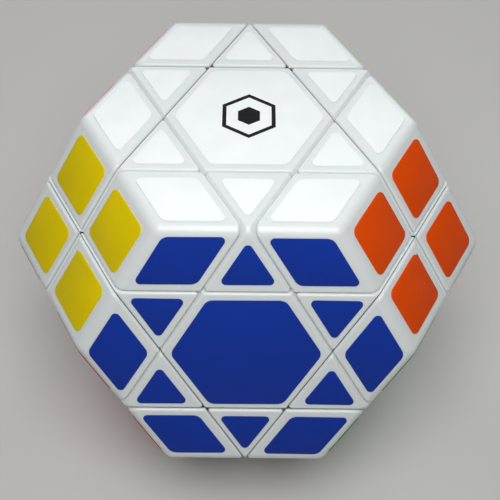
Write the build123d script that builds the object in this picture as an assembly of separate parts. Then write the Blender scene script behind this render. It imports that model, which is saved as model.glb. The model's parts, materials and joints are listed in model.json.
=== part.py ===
from build123d import *
import os
from math import cos, radians, sin, sqrt

os.makedirs("parts", exist_ok=True)

# Overall form: a truncated octahedron standing on one hexagon, all in millimetres
face_edge = 25.0
lattice = face_edge / sqrt(2)
hexagon_face = sqrt(3) * lattice
square_face = 2 * lattice
body_rounding = 2.0

# Turning layers: one under every face, the depths are shares of the face distance
hexagon_cut = hexagon_face * 2 / 3
square_cut = square_face * 3 / 4
play = 0.06
rim_radius = 0.4

# Inner mechanism: necks, hooked feet and the ball they slide on
hexagon_neck_angle = 44.0
square_neck_angle = 33.0
hexagon_foot_angle = 47.5
square_foot_angle = 38.0
foot_top_radius = 19.0
foot_bottom_radius = 15.2
core_radius = 15.0
post_angle = 6.2
post_top_radius = 18.8
post_tip_radius = 0.3

# Screw, spring and washer, measured along the axis they sit on
hexagon_seat = 19.5
square_seat = 21.7
pocket_radius = 2.75
screw_bore_radius = 1.35
core_bore_radius = 1.15
core_bore_depth_below_screw = 0.5
screw_shank_radius = 1.1
screw_tip_below_seat = 10.5
spring_mean_radius = 2.0
spring_wire_radius = 0.28
spring_height = 4.2
spring_pitch = 1.05
washer_radius = 2.5
washer_hole_radius = 1.25
washer_thickness = 0.5
screw_head_radius = 2.35
screw_head_height = 2.0
screw_head_rounding = 0.8
screw_slot_length = 2.6
screw_slot_width = 0.6
screw_slot_depth = 1.1
screw_tip_bevel = 0.4
stack_gap = 0.05
centre_tip_height = 32.6

# Clip-on cap that carries the hexagon centre's face
cap_thickness = 2.6
cap_gap = 0.05
peg_radius = 1.2
peg_length = 2.6
peg_circle_radius = 7.2

# Limits for telling edges apart, and a direction that no layer has
longest_short_edge = 5.0
same_place = 0.001
off_axis = Vector(0.3, 0.5, 0.9)

# Axes of the layers in the solid's own lattice frame
first_hexagons = {
    "white": (1, 1, 1),
    "red": (1, -1, -1),
    "green": (-1, 1, -1),
    "purple": (-1, -1, 1),
}
second_hexagons = {
    "blue": (1, 1, -1),
    "pink": (1, -1, 1),
    "lime": (-1, 1, 1),
    "grey": (-1, -1, -1),
}
squares = {
    "yellow": (1, 0, 0),
    "orange": (0, 1, 0),
    "sky": (0, 0, 1),
    "brown": (-1, 0, 0),
    "teal": (0, -1, 0),
    "black": (0, 0, -1),
}
hexagons = {**first_hexagons, **second_hexagons}
hexagon_axes = list(hexagons.values())
square_axes = list(squares.values())
all_axes = hexagon_axes + square_axes

# Lattice frame to part frame: the white hexagon looks up, the blue one looks to the front
lattice_x = (-1 / sqrt(2), -1 / sqrt(6), 1 / sqrt(3))
lattice_z = (0, 2 / sqrt(6), 1 / sqrt(3))
part_frame = Plane(origin=(0, 0, 0), x_dir=lattice_x, z_dir=lattice_z).location


def dot(a, b):
    return sum(p * q for p, q in zip(a, b))


def is_hexagon(axis):
    return 0 not in axis


def cut_distance(axis):
    return hexagon_cut if is_hexagon(axis) else square_cut


def face_distance(axis):
    return hexagon_face if is_hexagon(axis) else square_face


def along(axis, shape):
    return Plane(origin=(0, 0, 0), z_dir=axis).location * shape


def cut_off(shape, normal, distance):
    """Removes everything further than distance along normal."""
    direction = Vector(*normal).normalized()
    plane = Plane(origin=direction * distance, z_dir=direction)
    return split(shape, bisect_by=plane, keep=Keep.BOTTOM)


def main_solid(shape):
    return max(shape.solids(), key=lambda solid: solid.volume)


# ---- Turning layers as solids of revolution --------------------------------

def about(axis, direction, shape):
    """Stands a shape on an axis with its seam on the side away from the piece being cut."""
    z_dir = Vector(*axis).normalized()
    toward = Vector(*direction).normalized()
    away = z_dir * z_dir.dot(toward) - toward
    if away.length < same_place:
        away = z_dir.cross(off_axis)
    return Plane(origin=(0, 0, 0), x_dir=away, z_dir=z_dir).location * shape


def ball(radius, direction):
    toward = Vector(*direction).normalized()
    side = toward.cross(off_axis)
    return Plane(origin=(0, 0, 0), x_dir=-toward, z_dir=side).location * Sphere(radius)


def cone(axis, direction, angle, growth):
    """Cone from the centre, its wall moved outwards by growth."""
    apex = -growth / sin(radians(angle))
    height = 2 * face_edge
    width = (height - apex) * sin(radians(angle)) / cos(radians(angle))
    outline = Polyline((0, 0, apex), (width, 0, height), (0, 0, height), (0, 0, apex))
    return about(axis, direction, revolve(make_face(outline), Axis.Z))


def neck_angle(axis):
    return hexagon_neck_angle if is_hexagon(axis) else square_neck_angle


def foot_angle(axis):
    return hexagon_foot_angle if is_hexagon(axis) else square_foot_angle


def neck_and_slab(axis, direction, growth):
    """Outer slab of a layer together with the neck cone that carries it."""
    angle = radians(neck_angle(axis))
    apex = -growth / sin(angle)
    slab = cut_distance(axis) - growth
    width = (slab - apex) * sin(angle) / cos(angle)
    reach = 3 * face_edge
    outline = Polyline(
        (0, 0, apex), (width, 0, slab), (reach, 0, slab), (reach, 0, reach), (0, 0, reach), (0, 0, apex)
    )
    return about(axis, direction, revolve(make_face(outline), Axis.Z))


def neck_cone(axis, direction, growth):
    return cone(axis, direction, neck_angle(axis), growth)


def foot_cone(axis, direction, growth):
    return cone(axis, direction, foot_angle(axis), growth)


def carve(blank, direction, members, others, member_volume, other_volume):
    for axis in members:
        blank = main_solid(blank & member_volume(axis, direction, -play))
    for axis in others:
        blank = main_solid(blank - other_volume(axis, direction, play))
    return blank


# ---- Outer form and the pieces cut from it ----------------------------------

def outer_form():
    form = Box(2 * square_face, 2 * square_face, 2 * square_face)
    for axis in hexagon_axes:
        form = cut_off(form, axis, hexagon_face)
    return fillet(form.edges(), body_rounding)


def lies_in(edge, normal, distance):
    """Tells whether an edge lies in the plane at distance along normal."""
    return all(abs((edge @ share).dot(normal) - distance) < same_place for share in (0, 0.5, 1))


def rim_edges(piece, skin, members, others):
    """Edges where a cut meets the outer surface, and the short ones where two cuts meet."""
    cuts = [(Vector(*axis).normalized(), cut_distance(axis) + play) for axis in members]
    cuts += [(Vector(*axis).normalized(), cut_distance(axis) - play) for axis in others]
    found = []
    for edge in piece.edges():
        cuts_met = sum(lies_in(edge, normal, distance) for normal, distance in cuts)
        on_surface = skin.distance_to(edge @ 0.5) < same_place
        is_short = edge.length < longest_short_edge
        if (cuts_met == 1 and on_surface) or (cuts_met == 2 and is_short):
            found.append(edge)
    return found


def other_layers(direction, members):
    return [axis for axis in all_axes if axis not in members and dot(axis, direction) > 0]


def outer_part(form, direction, members):
    """Part of a piece above its hook."""
    others = other_layers(direction, members)
    blank = form - ball(foot_top_radius + play, direction)
    return carve(blank, direction, members, others, neck_and_slab, neck_and_slab)


def inner_part(direction, members):
    """Waist and foot of a piece, which hooks under its neighbours and slides on the core."""
    others = other_layers(direction, members)
    foot_top = ball(foot_top_radius - play, direction)
    hook_level = ball(foot_top_radius + play, direction)
    waist = carve(hook_level - foot_top, direction, members, others, neck_cone, foot_cone)
    shell = foot_top - ball(foot_bottom_radius, direction)
    return waist + carve(shell, direction, members, others, foot_cone, foot_cone)


def cut_piece(form, direction, members):
    """Piece shared by the member layers, from its outer faces down to its foot."""
    piece = outer_part(form, direction, members)
    rims = rim_edges(piece, form.shell(), members, other_layers(direction, members))
    return main_solid(piece.fillet(rim_radius, rims) + inner_part(direction, members))


def axis_cylinder(axis, radius, start, end):
    tube = Pos(0, 0, (start + end) / 2) * Cylinder(radius, end - start)
    return along(axis, tube)


def pegs(axis, radius, start, end):
    ring = Compound(
        children=[
            Rot(0, 0, 120 * k) * Pos(peg_circle_radius, 0, (start + end) / 2) * Cylinder(radius, end - start)
            for k in range(3)
        ]
    )
    return [along(axis, solid) for solid in ring.solids()]


def hexagon_centre_and_cap(form):
    axis = (1, 1, 1)
    whole = cut_piece(form, axis, [axis])
    split_height = hexagon_face - cap_thickness
    base = cut_off(whole, axis, split_height - cap_gap)
    base = base - axis_cylinder(axis, pocket_radius, hexagon_seat, hexagon_face)
    base = base - axis_cylinder(axis, screw_bore_radius, 0, hexagon_face)
    for hole in pegs(axis, peg_radius + play, split_height - peg_length - play, hexagon_face):
        base = base - hole
    cap = cut_off(whole, tuple(-c for c in axis), -split_height)
    for peg in pegs(axis, peg_radius, split_height - peg_length, split_height + cap_thickness / 2):
        cap = cap + peg
    return main_solid(base), main_solid(cap)


def square_centre(form):
    axis = (1, 0, 0)
    centre = cut_off(outer_part(form, axis, [axis]), axis, centre_tip_height)
    centre = centre - axis_cylinder(axis, pocket_radius, square_seat, square_face)
    centre = centre - axis_cylinder(axis, screw_bore_radius, 0, square_face)
    return main_solid(centre)


# ---- Core and hardware -------------------------------------------------------

def core():
    ball = Sphere(core_radius)
    post_radius = post_top_radius * sin(radians(post_angle))
    post = Pos(0, 0, post_top_radius / 2) * Cone(post_tip_radius, post_radius, post_top_radius)
    for axis in square_axes:
        ball = ball + along(axis, post)
    for axis in all_axes:
        seat = hexagon_seat if is_hexagon(axis) else square_seat
        bore_end = seat - screw_tip_below_seat - core_bore_depth_below_screw
        ball = ball - axis_cylinder(axis, core_bore_radius, bore_end, square_face)
    return main_solid(ball)


def washer_bottom(seat):
    return seat + spring_height + 2 * spring_wire_radius + 2 * stack_gap


def screw(seat):
    head_base = washer_bottom(seat) + washer_thickness + stack_gap
    tip = seat - screw_tip_below_seat
    shank = Pos(0, 0, (tip + head_base) / 2) * Cylinder(screw_shank_radius, head_base - tip)
    head = Pos(0, 0, head_base + screw_head_height / 2) * Cylinder(screw_head_radius, screw_head_height)
    head = fillet(head.edges().sort_by(Axis.Z)[-1], screw_head_rounding)
    slot = Box(screw_slot_length, screw_slot_width, 2 * screw_slot_depth)
    slot = Pos(0, 0, head_base + screw_head_height) * slot
    body = head + shank - slot - Rot(0, 0, 90) * slot
    return chamfer(body.edges().sort_by(Axis.Z)[0], screw_tip_bevel)


def washer(seat):
    ring = Cylinder(washer_radius, washer_thickness) - Cylinder(washer_hole_radius, washer_thickness)
    return Pos(0, 0, washer_bottom(seat) + washer_thickness / 2) * ring


def spring(seat):
    path = Helix(pitch=spring_pitch, height=spring_height, radius=spring_mean_radius)
    section = Plane(origin=path @ 0, z_dir=path % 0) * Circle(spring_wire_radius)
    coil = sweep(section, path=path, is_frenet=True)
    return Pos(0, 0, seat + spring_wire_radius + stack_gap) * coil


def on_every_axis(make):
    on_hexagons = [along(axis, make(hexagon_seat)) for axis in hexagon_axes]
    on_squares = [along(axis, make(square_seat)) for axis in square_axes]
    return on_hexagons + on_squares


# ---- Copies by the turns that map the solid onto itself ----------------------

def turned(axis_pairs, shape):
    """Moves a shape by the turn that carries two lattice directions onto two others."""
    for x_dir in square_axes:
        for z_dir in square_axes:
            if dot(x_dir, z_dir) != 0:
                continue
            turn = Plane(origin=(0, 0, 0), x_dir=x_dir, z_dir=z_dir)
            if all(lands_on(turn, start, end) for start, end in axis_pairs):
                return turn.location * shape
    raise ValueError("no turn fits")


def lands_on(turn, start, end):
    moved = turn.x_dir * start[0] + turn.y_dir * start[1] + turn.z_dir * start[2]
    return (moved - Vector(*end)).length < same_place


def write(name, solids):
    placed = [part_frame * solid for piece in solids for solid in piece.solids()]
    node = placed[0] if len(placed) == 1 else Compound(children=placed)
    export_step(node, f"parts/{name}.step")


form = outer_form()
hex_a = (1, 1, 1)
hex_b = (1, 1, -1)
square_a = (1, 0, 0)
base_corner = cut_piece(form, (2, 1, 0), [hex_a, hex_b, square_a])
base_edge = cut_piece(form, (1, 1, 0), [hex_a, hex_b])
base_triangle = cut_piece(form, (4, 1, 1), [hex_a, square_a])
base_centre, base_cap = hexagon_centre_and_cap(form)
base_square_centre = square_centre(form)


def corner_at(vertex):
    return turned([((2, 1, 0), vertex)], base_corner)


def edge_between(first, second):
    return turned([(hex_a, first), (hex_b, second)], base_edge)


def triangle_between(hexagon, square):
    return turned([(hex_a, hexagon), (square_a, square)], base_triangle)


def corners_between(hexagon, square):
    """The two corners shared by a hexagon layer and a square layer."""
    rest = [i for i in range(3) if square[i] == 0]
    vertices = []
    for i in rest:
        vertex = [2 * c for c in square]
        vertex[i] = hexagon[i]
        vertices.append(tuple(vertex))
    return [corner_at(vertex) for vertex in vertices]


write("core", [core()])
write("screws", on_every_axis(screw))
write("springs", on_every_axis(spring))
write("washers", on_every_axis(washer))

for colour, axis in hexagons.items():
    write(f"{colour}_centre", [turned([(hex_a, axis)], base_centre)])
    write(f"{colour}_cap", [turned([(hex_a, axis)], base_cap)])

for colour, axis in first_hexagons.items():
    partners = [other for other in second_hexagons.values() if dot(axis, other) == 1]
    write(f"{colour}_edges", [edge_between(axis, other) for other in partners])
    for square_colour, square in squares.items():
        if dot(axis, square) != 1:
            continue
        write(f"{colour}_{square_colour}_corners", corners_between(axis, square))
        write(f"{colour}_{square_colour}_triangle", [triangle_between(axis, square)])

for colour, axis in squares.items():
    neighbours = [other for other in second_hexagons.values() if dot(axis, other) == 1]
    write(f"{colour}_axis_centre", [turned([(square_a, axis)], base_square_centre)])
    write(f"{colour}_triangles", [triangle_between(other, axis) for other in neighbours])
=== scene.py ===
"""Looks of the truncated octahedron twisty puzzle: plastic, vinyl stickers, floor, light and camera."""

import json
from math import cos, pi, radians, sin, sqrt
from random import Random

import bmesh
import bpy
from mathutils import Matrix, Vector


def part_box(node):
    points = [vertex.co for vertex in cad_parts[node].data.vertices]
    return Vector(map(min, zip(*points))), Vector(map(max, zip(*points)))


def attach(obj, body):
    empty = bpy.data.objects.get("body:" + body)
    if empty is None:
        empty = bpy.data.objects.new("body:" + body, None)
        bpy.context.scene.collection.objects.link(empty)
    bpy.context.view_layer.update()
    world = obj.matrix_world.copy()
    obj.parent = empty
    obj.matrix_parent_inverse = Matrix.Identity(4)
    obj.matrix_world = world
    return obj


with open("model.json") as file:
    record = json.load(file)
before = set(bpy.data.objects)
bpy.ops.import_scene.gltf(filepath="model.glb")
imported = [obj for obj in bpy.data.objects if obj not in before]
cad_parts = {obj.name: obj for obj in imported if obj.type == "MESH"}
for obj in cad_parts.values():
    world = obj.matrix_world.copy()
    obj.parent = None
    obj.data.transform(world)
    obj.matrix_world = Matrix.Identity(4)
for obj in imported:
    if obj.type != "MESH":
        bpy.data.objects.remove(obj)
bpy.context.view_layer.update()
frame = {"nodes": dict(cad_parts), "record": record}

MM = 0.001

# ---- The solid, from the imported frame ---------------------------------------

HEXAGON_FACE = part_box("white_cap")[1].z
SQUARE_FACE = HEXAGON_FACE * 2 / sqrt(3)
HEXAGON_CUT = HEXAGON_FACE * 2 / 3
SQUARE_CUT = SQUARE_FACE * 3 / 4

FIRST_HEXAGONS = {
    "white": (1, 1, 1),
    "red": (1, -1, -1),
    "green": (-1, 1, -1),
    "purple": (-1, -1, 1),
}
SECOND_HEXAGONS = {
    "blue": (1, 1, -1),
    "pink": (1, -1, 1),
    "lime": (-1, 1, 1),
    "grey": (-1, -1, -1),
}
SQUARES = {
    "yellow": (1, 0, 0),
    "orange": (0, 1, 0),
    "sky": (0, 0, 1),
    "brown": (-1, 0, 0),
    "teal": (0, -1, 0),
    "black": (0, 0, -1),
}
HEXAGONS = {**FIRST_HEXAGONS, **SECOND_HEXAGONS}
FACES = {**HEXAGONS, **SQUARES}

# Rows of the turn from the lattice of the solid to the part's frame
LATTICE_ROWS = [Vector((-1, 1, 0)), Vector((-1, -1, 2)), Vector((1, 1, 1))]

# ---- Stickers ----------------------------------------------------------------

STICKER_THICKNESS = 0.16 * MM
STICKER_EDGE = 0.05 * MM
STICKER_SINK = 0.01 * MM
CORNER_STEPS = 8
SMOOTH_ANGLE = radians(50)

# Bare plastic round a sticker: beside cuts of the piece's own layers, beside other cuts, at edges
HEXAGON_MARGINS = {"own": 1.64 * MM, "other": 0.96 * MM, "centre": 1.05 * MM, "rim": 1.32 * MM}
SQUARE_MARGINS = {"own": 1.62 * MM, "other": 1.62 * MM, "centre": 1.62 * MM, "rim": 1.90 * MM}

# Stickers are laid by hand, so each sits a little off its place
STICKER_SLIP = 0.07 * MM
STICKER_TILT = radians(0.5)
placing = Random(14)

SHARP_CORNER_RADIUS = 0.65 * MM
SQUARE_CORNER_RADIUS = 1.1 * MM
WIDE_CORNER_RADIUS = 1.6 * MM

MARK_THICKNESS = 0.015 * MM
MARK_SINK = 0.005 * MM
MARK_RINGS = [(4.6 * MM, 3.9 * MM), (1.9 * MM, 0.02 * MM)]

VINYL_COLOURS = {
    "white": (0.825, 0.855, 0.855),
    "blue": (0.008, 0.036, 0.31),
    "yellow": (0.70, 0.535, 0.001),
    "orange": (0.72, 0.068, 0.001),
    "red": (0.50, 0.012, 0.016),
    "green": (0.006, 0.22, 0.045),
    "purple": (0.13, 0.022, 0.26),
    "pink": (0.72, 0.13, 0.30),
    "lime": (0.30, 0.56, 0.05),
    "grey": (0.22, 0.23, 0.24),
    "sky": (0.11, 0.42, 0.72),
    "brown": (0.16, 0.062, 0.022),
    "teal": (0.008, 0.24, 0.25),
    "black": (0.012, 0.012, 0.014),
}

# ---- Camera, lights and floor ------------------------------------------------

CAMERA_PLACE = Vector((-0.45, -104.4, 134.0)) * MM
CAMERA_AZIMUTH = radians(-0.535)
CAMERA_ELEVATION = radians(52.53)
CAMERA_ROLL = radians(1.06)
CAMERA_LENS = 70.04
SENSOR_WIDTH = 36
NEAREST_SEEN = 0.01

# Name, place and width in metres, power in watts, colour
LIGHTS = [
    ("key", (0.0, -0.09, 0.17), 0.12, 0.260, (0.995, 0.995, 0.99)),
    ("back_left", (-0.26, 0.42, 0.30), 0.40, 0.85, (0.97, 0.985, 1.0)),
    ("back_right", (0.26, 0.42, 0.30), 0.40, 0.85, (0.97, 0.985, 1.0)),
]
ROOM_COLOUR = (0.92, 0.95, 1.0)
ROOM_STRENGTH = 0.17

FLOOR_SIZE = 1.6
FLOOR_COLOUR = (0.62, 0.605, 0.58)


def to_part(axis):
    """Unit direction in the part's frame of a lattice axis."""
    return Vector([row.normalized().dot(Vector(axis).normalized()) for row in LATTICE_ROWS])


def dot(a, b):
    return sum(p * q for p, q in zip(a, b))


def is_hexagon(axis):
    return 0 not in axis


def neighbours(axis):
    """Colours of the faces that share an edge with the face on this axis."""
    found = []
    for colour, other in FACES.items():
        if is_hexagon(axis) or is_hexagon(other):
            if dot(axis, other) == 1:
                found.append(colour)
    return found


class Face:
    """Plane of one coloured face, with its own two axes and the lines of its edges and cuts."""

    def __init__(self, colour):
        self.colour = colour
        self.axis = FACES[colour]
        self.normal = to_part(self.axis)
        self.distance = HEXAGON_FACE if is_hexagon(self.axis) else SQUARE_FACE
        self.around = neighbours(self.axis)
        first = to_part(FACES[self.around[0]])
        self.across = (first - self.normal * first.dot(self.normal)).normalized()
        self.along = self.normal.cross(self.across)
        self.lines = {c: self.line_towards(FACES[c]) for c in self.around}

    def line_towards(self, axis):
        """Direction in the face, and the distances of the cut and of the face's edge."""
        other = to_part(axis)
        lean = other.dot(self.normal)
        slope = sqrt(1 - lean**2)
        outward = Vector((other.dot(self.across), other.dot(self.along))).normalized()
        cut = HEXAGON_CUT if is_hexagon(axis) else SQUARE_CUT
        rim = HEXAGON_FACE if is_hexagon(axis) else SQUARE_FACE
        return outward, (cut - lean * self.distance) / slope, (rim - lean * self.distance) / slope

    def place(self, point, height):
        flat = self.across * point[0] + self.along * point[1]
        return self.normal * (self.distance + height) + flat

    def sticker_outline(self, members):
        """Corners of the sticker on the piece that only these neighbouring layers share."""
        reach = 3 * self.distance
        corners = [Vector((reach * cos(k * pi / 2), reach * sin(k * pi / 2))) for k in range(4)]
        margins = HEXAGON_MARGINS if is_hexagon(self.axis) else SQUARE_MARGINS
        beside_others = margins["other"] if members else margins["centre"]
        for colour, (outward, cut, rim) in self.lines.items():
            corners = clip(corners, outward, rim - margins["rim"])
            if colour in members:
                corners = clip(corners, -outward, -cut - margins["own"])
            else:
                corners = clip(corners, outward, cut - beside_others)
        return corners


def clip(corners, outward, limit):
    """Keeps the part of a convex outline that lies within limit along outward."""
    kept = []
    for start, end in zip(corners, corners[1:] + corners[:1]):
        before = start.dot(outward) - limit
        after = end.dot(outward) - limit
        if before <= 0:
            kept.append(start)
        if before * after < 0:
            kept.append(start.lerp(end, before / (before - after)))
    return kept


def laid_by_hand(corners):
    """Shifts and turns an outline slightly about its middle."""
    middle = sum(corners, Vector((0, 0))) / len(corners)
    slip = Vector((placing.uniform(-1, 1), placing.uniform(-1, 1))) * STICKER_SLIP
    tilt = Matrix.Rotation(placing.uniform(-STICKER_TILT, STICKER_TILT), 2)
    return [middle + slip + tilt @ (corner - middle) for corner in corners]


def corner_radius(angle):
    if angle < radians(75):
        return SHARP_CORNER_RADIUS
    if angle < radians(105):
        return SQUARE_CORNER_RADIUS
    return WIDE_CORNER_RADIUS


def rounded(corners, shrink=0.0):
    """Outline with round corners, moved inwards by shrink."""
    outline = []
    for i, corner in enumerate(corners):
        back = (corners[i - 1] - corner).normalized()
        ahead = (corners[(i + 1) % len(corners)] - corner).normalized()
        angle = back.angle(ahead)
        radius = corner_radius(angle)
        inward = (back + ahead).normalized()
        centre = corner + inward * (radius / sin(angle / 2))
        sweep = pi - angle
        for k in range(CORNER_STEPS + 1):
            turn = (k / CORNER_STEPS - 0.5) * sweep
            spoke = -inward * (radius - shrink)
            outline.append(centre + Matrix.Rotation(turn, 2) @ spoke)
    return outline


def sticker_mesh(name, face, corners):
    """Thin raised plate on a face, with round corners and a soft upper edge."""
    rings = [
        (rounded(corners), -STICKER_SINK),
        (rounded(corners), STICKER_THICKNESS - STICKER_EDGE),
        (rounded(corners, STICKER_EDGE * 0.35), STICKER_THICKNESS - STICKER_EDGE * 0.25),
        (rounded(corners, STICKER_EDGE), STICKER_THICKNESS),
    ]
    shape = bmesh.new()
    loops = [[shape.verts.new(face.place(p, height)) for p in outline] for outline, height in rings]
    count = len(loops[0])
    shape.faces.new(list(reversed(loops[0])))
    for lower, upper in zip(loops, loops[1:]):
        for k in range(count):
            following = (k + 1) % count
            shape.faces.new([lower[k], lower[following], upper[following], upper[k]])
    shape.faces.new(loops[-1])
    bmesh.ops.recalc_face_normals(shape, faces=shape.faces)
    mesh = bpy.data.meshes.new(name)
    shape.to_mesh(mesh)
    shape.free()
    mesh.shade_smooth()
    mesh.set_sharp_from_angle(angle=SMOOTH_ANGLE)
    return mesh


def add_object(name, mesh, material):
    piece = bpy.data.objects.new(name, mesh)
    bpy.context.scene.collection.objects.link(piece)
    mesh.materials.append(material)
    return piece


def body_of_layers(colours):
    """Body that carries the piece which these layers share."""
    first = [c for c in colours if c in FIRST_HEXAGONS]
    square = [c for c in colours if c in SQUARES]
    if first and square:
        return f"{first[0]}_{square[0]}_group"
    if first or square:
        return f"{(first or square)[0]}_layer"
    return "core_unit"


def piece_members(face):
    """Sets of neighbouring layers whose shared pieces show on this face."""
    sets = []
    if is_hexagon(face.axis):
        sets.append(())
        sets += [(c,) for c in face.around]
    for i, one in enumerate(face.around):
        for other in face.around[i + 1:]:
            if dot(FACES[one], FACES[other]) == 1:
                sets.append((one, other))
    return sets


def add_stickers(materials):
    for colour in FACES:
        face = Face(colour)
        for members in piece_members(face):
            name = "_".join(["sticker", colour, *members] if members else ["sticker", colour, "centre"])
            mesh = sticker_mesh(name, face, laid_by_hand(face.sticker_outline(members)))
            sticker = add_object(name, mesh, materials[colour])
            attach(sticker, body_of_layers((colour, *members)))


def hexagon(radius):
    return [Vector((radius * cos(k * pi / 3), radius * sin(k * pi / 3))) for k in range(6)]


def add_mark(ink):
    """Plain printed sign on the white centre: a hexagon ring round a small solid hexagon."""
    face = Face("white")
    shape = bmesh.new()
    low, high = STICKER_THICKNESS - MARK_SINK, STICKER_THICKNESS + MARK_THICKNESS
    for outer, inner in MARK_RINGS:
        places = [(outer, low), (inner, low), (outer, high), (inner, high)]
        loops = [[shape.verts.new(face.place(p, h)) for p in hexagon(radius)] for radius, h in places]
        low_outer, low_inner, high_outer, high_inner = loops
        section = [low_outer, high_outer, high_inner, low_inner]
        for k in range(6):
            after = (k + 1) % 6
            for one, other in zip(section, section[1:] + section[:1]):
                shape.faces.new([one[k], one[after], other[after], other[k]])
    bmesh.ops.recalc_face_normals(shape, faces=shape.faces)
    mesh = bpy.data.meshes.new("printed_mark")
    shape.to_mesh(mesh)
    shape.free()
    mark = add_object("printed_mark", mesh, ink)
    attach(mark, "white_layer")


# ---- Materials ---------------------------------------------------------------

class Nodes:
    """Short hand for building one node material on its Principled shader."""

    def __init__(self, name):
        self.material = bpy.data.materials.new(name)
        self.material.use_nodes = True
        self.tree = self.material.node_tree
        self.shader = self.tree.nodes["Principled BSDF"]
        place = self.add("ShaderNodeTexCoord")
        scale = self.add("ShaderNodeVectorMath", operation="SCALE")
        scale.inputs["Scale"].default_value = 1 / MM
        self.link(place.outputs["Object"], scale.inputs[0])
        self.millimetres = scale.outputs[0]

    def add(self, kind, **settings):
        node = self.tree.nodes.new(kind)
        for key, value in settings.items():
            setattr(node, key, value)
        return node

    def link(self, source, target):
        self.tree.links.new(source, target)

    def set(self, **values):
        for key, value in values.items():
            self.shader.inputs[key.replace("_", " ")].default_value = value

    def noise(self, size, detail=3.0, roughness=0.55):
        """Noise whose grains are about size millimetres across."""
        node = self.add("ShaderNodeTexNoise")
        node.inputs["Scale"].default_value = 1 / size
        node.inputs["Detail"].default_value = detail
        node.inputs["Roughness"].default_value = roughness
        self.link(self.millimetres, node.inputs["Vector"])
        return node.outputs["Fac"]

    def specks(self, size, reach):
        """Sparse dots, 1 inside a dot of about reach times size millimetres."""
        node = self.add("ShaderNodeTexVoronoi")
        node.inputs["Scale"].default_value = 1 / size
        self.link(self.millimetres, node.inputs["Vector"])
        return self.remap(node.outputs["Distance"], reach, reach * 0.5, 0.0, 1.0)

    def remap(self, source, low, high, to_low, to_high):
        node = self.add("ShaderNodeMapRange")
        limits = {"From Min": low, "From Max": high, "To Min": to_low, "To Max": to_high}
        for key, value in limits.items():
            node.inputs[key].default_value = value
        self.link(source, node.inputs["Value"])
        return node.outputs["Result"]

    def multiply(self, one, other):
        node = self.add("ShaderNodeMath", operation="MULTIPLY")
        self.link(one, node.inputs[0])
        self.link(other, node.inputs[1])
        return node.outputs[0]

    def mix(self, amount, one, other):
        """Colour between one and other, each a colour or a socket."""
        node = self.add("ShaderNodeMix", data_type="RGBA")
        self.link(amount, node.inputs[0])
        for socket, value in ((node.inputs[6], one), (node.inputs[7], other)):
            if isinstance(value, tuple):
                socket.default_value = (*value, 1.0)
            else:
                self.link(value, socket)
        return node.outputs[2]

    def feed(self, source, name):
        self.link(source, self.shader.inputs[name])

    def grain(self, size, depth):
        """Fine surface relief, size and depth in millimetres."""
        node = self.add("ShaderNodeBump")
        node.inputs["Strength"].default_value = 1.0
        node.inputs["Distance"].default_value = depth * MM
        self.link(self.noise(size), node.inputs["Height"])
        self.feed(node.outputs["Normal"], "Normal")


def plastic(name, colour, shade, gloss):
    """Moulded plastic with a soft sheen, faint cloudiness and handling marks."""
    nodes = Nodes(name)
    clouds = nodes.remap(nodes.noise(9.0), 0.35, 0.65, 0.0, 1.0)
    nodes.feed(nodes.mix(clouds, colour, shade), "Base Color")
    smudges = nodes.remap(nodes.noise(4.0, detail=5.0), 0.3, 0.7, gloss - 0.03, gloss + 0.05)
    nodes.feed(smudges, "Roughness")
    nodes.grain(0.3, 0.008)
    nodes.set(IOR=1.5)
    return nodes


def white_plastic():
    nodes = plastic("white_plastic", (0.70, 0.735, 0.73), (0.685, 0.72, 0.715), 0.30)
    nodes.set(Subsurface_Weight=0.15, Subsurface_Scale=1.0 * MM)
    return nodes.material


# Near-black core: a colour such cores can really have, and also painted shade that darkens the gaps
# between pieces where the core shows through.
def core_plastic():
    return plastic("core_plastic", (0.035, 0.035, 0.038), (0.05, 0.05, 0.053), 0.5).material


def steel():
    """Zinc-plated steel with fine turning marks."""
    nodes = Nodes("steel")
    clouds = nodes.remap(nodes.noise(1.5), 0.3, 0.7, 0.0, 1.0)
    nodes.feed(nodes.mix(clouds, (0.60, 0.60, 0.62), (0.48, 0.49, 0.52)), "Base Color")
    nodes.feed(nodes.remap(nodes.noise(0.6), 0.3, 0.7, 0.22, 0.4), "Roughness")
    nodes.grain(0.12, 0.006)
    nodes.set(Metallic=1.0)
    return nodes.material


def vinyl(colour):
    """Self-adhesive vinyl film: even colour, orange-peel gloss, a few pale specks and scuffs."""
    nodes = Nodes(f"{colour}_vinyl")
    base = VINYL_COLOURS[colour]
    deep = tuple(c * 0.96 for c in base)
    pale = tuple(c + (0.75 - c) * 0.5 for c in base)
    clouds = nodes.remap(nodes.noise(6.0), 0.35, 0.65, 0.0, 1.0)
    dust = nodes.multiply(nodes.specks(2.6, 0.045), nodes.remap(nodes.noise(7.0), 0.58, 0.62, 0.0, 1.0))
    film = nodes.mix(clouds, base, deep)
    nodes.feed(nodes.mix(dust, film, pale), "Base Color")
    nodes.feed(nodes.remap(nodes.noise(3.0, detail=5.0), 0.3, 0.7, 0.42, 0.52), "Roughness")
    nodes.grain(0.5, 0.006)
    nodes.set(IOR=1.4, Specular_IOR_Level=0.1)
    return nodes.material


def ink():
    """Black printing ink, slightly uneven in cover."""
    nodes = Nodes("printed_mark")
    cover = nodes.remap(nodes.noise(0.4), 0.3, 0.7, 0.0, 1.0)
    nodes.feed(nodes.mix(cover, (0.004, 0.004, 0.005), (0.010, 0.010, 0.011)), "Base Color")
    nodes.feed(nodes.remap(nodes.noise(1.0), 0.3, 0.7, 0.45, 0.6), "Roughness")
    nodes.set(Specular_IOR_Level=0.15)
    return nodes.material


def floor_material():
    nodes = Nodes("pale_floor")
    clouds = nodes.remap(nodes.noise(60.0), 0.3, 0.7, 0.0, 1.0)
    shade = tuple(c * 0.97 for c in FLOOR_COLOUR)
    nodes.feed(nodes.mix(clouds, FLOOR_COLOUR, shade), "Base Color")
    nodes.set(Roughness=0.7)
    return nodes.material


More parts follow.
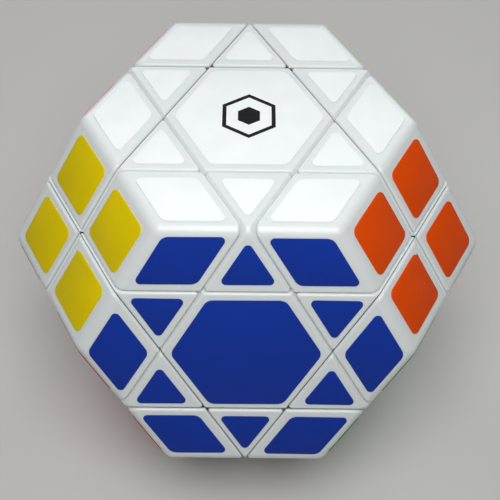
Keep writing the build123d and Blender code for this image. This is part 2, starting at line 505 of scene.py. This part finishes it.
def dress_cad_nodes():
    slots = {s["node"]: s["material_slot"] for s in frame["record"]["subparts"]}
    made = {"white_plastic": white_plastic(), "core_plastic": core_plastic(), "steel": steel()}
    for name, node in frame["nodes"].items():
        node.data.materials.clear()
        node.data.materials.append(made[slots[name]])


# ---- Stage -------------------------------------------------------------------

def add_floor():
    half = FLOOR_SIZE / 2
    corners = [(-half, -half), (half, -half), (half, half), (-half, half)]
    mesh = bpy.data.meshes.new("floor")
    mesh.from_pydata([(x, y, -HEXAGON_FACE) for x, y in corners], [], [(0, 1, 2, 3)])
    add_object("floor", mesh, floor_material())


def add_light(name, place, size, power, colour):
    lamp = bpy.data.lights.new(name, "AREA")
    lamp.shape = "DISK"
    lamp.size = size
    lamp.energy = power
    lamp.color = colour
    light = bpy.data.objects.new(name, lamp)
    light.location = place
    light.rotation_euler = (-Vector(place)).to_track_quat("-Z", "Y").to_euler()
    bpy.context.scene.collection.objects.link(light)


def add_lights():
    for light in LIGHTS:
        add_light(*light)
    world = bpy.data.worlds.new("studio")
    world.use_nodes = True
    background = world.node_tree.nodes["Background"]
    background.inputs["Color"].default_value = (*ROOM_COLOUR, 1.0)
    background.inputs["Strength"].default_value = ROOM_STRENGTH
    bpy.context.scene.world = world


def add_camera():
    azimuth, elevation = CAMERA_AZIMUTH, CAMERA_ELEVATION
    back = Vector((sin(azimuth) * cos(elevation), -cos(azimuth) * cos(elevation), sin(elevation)))
    right = (-back).cross(Vector((0, 0, 1))).normalized()
    up = right.cross(-back)
    rolled_right = right * cos(CAMERA_ROLL) + up * sin(CAMERA_ROLL)
    rolled_up = up * cos(CAMERA_ROLL) - right * sin(CAMERA_ROLL)
    lens = bpy.data.cameras.new("camera")
    lens.sensor_width = SENSOR_WIDTH
    lens.lens = CAMERA_LENS
    lens.clip_start = NEAREST_SEEN
    camera = bpy.data.objects.new("camera", lens)
    turn = Matrix((rolled_right, rolled_up, back)).transposed().to_4x4()
    camera.matrix_world = Matrix.Translation(CAMERA_PLACE) @ turn
    bpy.context.scene.collection.objects.link(camera)
    bpy.context.scene.camera = camera


dress_cad_nodes()
add_stickers({colour: vinyl(colour) for colour in FACES})
add_mark(ink())
add_floor()
add_lights()
add_camera()
bpy.context.scene.view_settings.view_transform = "Standard"
